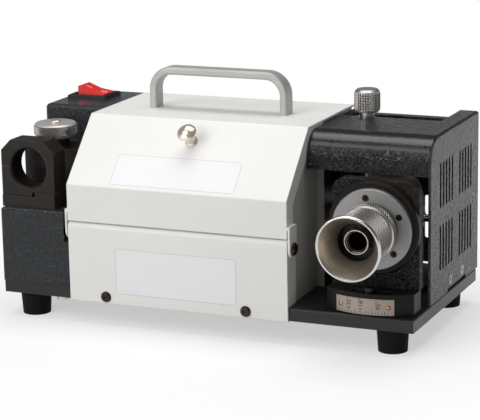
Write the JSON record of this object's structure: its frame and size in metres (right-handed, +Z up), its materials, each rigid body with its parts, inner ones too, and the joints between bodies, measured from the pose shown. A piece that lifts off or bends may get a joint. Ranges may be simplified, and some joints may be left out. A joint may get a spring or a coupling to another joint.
{
  "type": "drill bit sharpener",
  "caption": "Bench drill bit sharpener: hooded motor box with a handle, a swivelling collet chuck head on a point angle scale and a drill setting gauge.",
  "frame": {"origin": "middle of the machine's bounding box, on the surface it stands on", "axes": "+X to the operator's right, +Y away from the operator, +Z up"},
  "size_m": [0.318, 0.1844, 0.1783],
  "materials": {
    "base_paint": "dark satin paint on thick steel plate",
    "foot_rubber": "matt black rubber",
    "zinc_screws": "bright zinc plated",
    "black_screws": "black oxide",
    "white_paint": "warm white powder coat with a faint orange peel",
    "cream_paint": "light grey-cream powder coat",
    "slate_paint": "dark blue-grey paint",
    "black_wrinkle": "black wrinkle powder coat",
    "brown_wrinkle": "coarse brown-black wrinkle coat",
    "satin_aluminium": "satin",
    "blackened_steel": "blackened, machined satin",
    "bright_nickel": "polished nickel",
    "knurled_steel": "diamond knurled, nickel plated",
    "rocker_red": "gloss red plastic",
    "black_plastic": "fine matt black plastic",
    "scale_metal": "satin, with black marks",
    "rivet_copper": "copper coloured, domed",
    "foot_black": "black satin",
    "ground_steel": "ground bright",
    "silver_disc": "fine turned satin",
    "motor_paint": "grey enamel",
    "motor_iron": "laminated iron",
    "cast_alloy": "as cast",
    "capacitor_shell": "pale grey plastic",
    "wheel_body": "turned",
    "abrasive": "resin bonded grit",
    "fan_plastic": "moulded"
  },
  "bodies": {
    "machine": {"base_plate": "base_paint", "rubber_feet": "foot_rubber", "underside_screws": "zinc_screws", "front_panel": "white_paint", "panel_screws": "black_screws", "inner_walls": "cream_paint", "top_plate": "white_paint", "carry_handle": "satin_aluminium", "handle_screws": "zinc_screws", "hood_pivots": "black_screws", "pedestal": "slate_paint", "left_housing": "slate_paint", "switch_bezel": "black_plastic", "cable_gland": "black_plastic", "gauge_way": "blackened_steel", "gauge_socket": "blackened_steel", "stop_carrier": "blackened_steel", "motor_shell": "motor_paint", "motor_bells": "cast_alloy", "motor_bearings": "ground_steel", "stator_core": "motor_iron", "motor_cradle": "cast_alloy", "run_capacitor": "capacitor_shell", "wiring": "black_plastic", "chamber_wall": "cream_paint", "right_cover": "black_wrinkle", "cover_screws": "zinc_screws", "cover_bracket": "base_paint", "rear_panel": "black_wrinkle", "thinning_rail": "blackened_steel", "rail_screws": "black_screws", "swivel_pin": "ground_steel", "collet_rack": "cream_paint", "spare_collets": "ground_steel"},
    "hood": {"hood": "white_paint", "hood_knob": "bright_nickel"},
    "rocker": {"switch_rocker": "rocker_red"},
    "rotor": {"rotor_core": "motor_iron", "motor_shaft": "ground_steel", "cooling_fan": "fan_plastic", "wheel_core": "wheel_body", "abrasive_layer": "abrasive", "wheel_clamp": "zinc_screws"},
    "setting_knob": {"gauge_spindle": "bright_nickel", "gauge_knob": "knurled_steel"},
    "setting_stop": {"gauge_stop": "ground_steel"},
    "thinning_knob": {"thinning_screw": "knurled_steel"},
    "thinning_slide": {"thinning_rest": "blackened_steel"},
    "grinding_head": {"swivel_foot": "foot_black", "angle_scale": "scale_metal", "scale_rivets": "rivet_copper", "head_plate": "brown_wrinkle", "head_ring": "foot_black", "flange_disc": "silver_disc", "disc_screws": "black_screws"},
    "angle_lock": {"angle_lock": "black_screws"},
    "bush": {"guide_bush": "ground_steel"},
    "chuck": {"chuck_body": "knurled_steel", "chuck_collet": "ground_steel"},
    "draw_nut": {"collet_nut": "knurled_steel"}
  },
  "joints": [
    {"name": "hood_hinge", "type": "hinge", "parent": "machine", "child": "hood", "pos_m": [-0.01808, -0.05228, 0.068], "axis": [1, 0, 0], "range_deg": [0, 95]},
    {"name": "rocker_tilt", "type": "hinge", "parent": "machine", "child": "rocker", "pos_m": [-0.1375, 0.05373, 0.145], "axis": [0, -1, 0], "range_deg": [0, 30]},
    {"name": "motor_spin", "type": "hinge", "parent": "machine", "child": "rotor", "pos_m": [-0.073, 0.04072, 0.074], "axis": [1, 0, 0], "continuous": true},
    {"name": "setting_turn", "type": "hinge", "parent": "machine", "child": "setting_knob", "pos_m": [-0.137, -0.01077, 0.127], "axis": [0, 0, 1], "range_deg": [-35, 35]},
    {"name": "stop_slide", "type": "slide", "parent": "machine", "child": "setting_stop", "axis": [0, 1, 0], "range_m": [-0.0018, 0.0018]},
    {"name": "thinning_turn", "type": "hinge", "parent": "machine", "child": "thinning_knob", "pos_m": [0.086, 0.05423, 0.147], "axis": [0, 0, 1], "range_deg": [-721, 721]},
    {"name": "thinning_feed", "type": "slide", "parent": "machine", "child": "thinning_slide", "axis": [0, 0, 1], "range_m": [-0.0025, 0.0025]},
    {"name": "point_angle", "type": "hinge", "parent": "machine", "child": "grinding_head", "pos_m": [0.124, 0.00573, 0.0262], "axis": [0, 0, 1], "range_deg": [-11.5, 8.5]},
    {"name": "lock_turn", "type": "hinge", "parent": "machine", "child": "angle_lock", "pos_m": [0.124, -0.04877, 0.042], "axis": [0, 0, 1], "range_deg": [0, 180]},
    {"name": "bush_turn", "type": "hinge", "parent": "grinding_head", "child": "bush", "pos_m": [0.124, -0.04428, 0.0841], "axis": [0, -0.9986, -0.0523], "continuous": true},
    {"name": "chuck_slide", "type": "slide", "parent": "bush", "child": "chuck", "axis": [0, -0.9986, -0.0523], "range_m": [0, 0.05]},
    {"name": "nut_turn", "type": "hinge", "parent": "chuck", "child": "draw_nut", "pos_m": [0.124, -0.07423, 0.08253], "axis": [0, -0.9986, -0.0523], "range_deg": [0, 120]}
  ],
  "couplings": [
    {"joint": "setting_turn", "follows": "stop_slide", "rad_per_m": 333.33},
    {"joint": "thinning_turn", "follows": "thinning_feed", "rad_per_m": -5026.5}
  ]
}
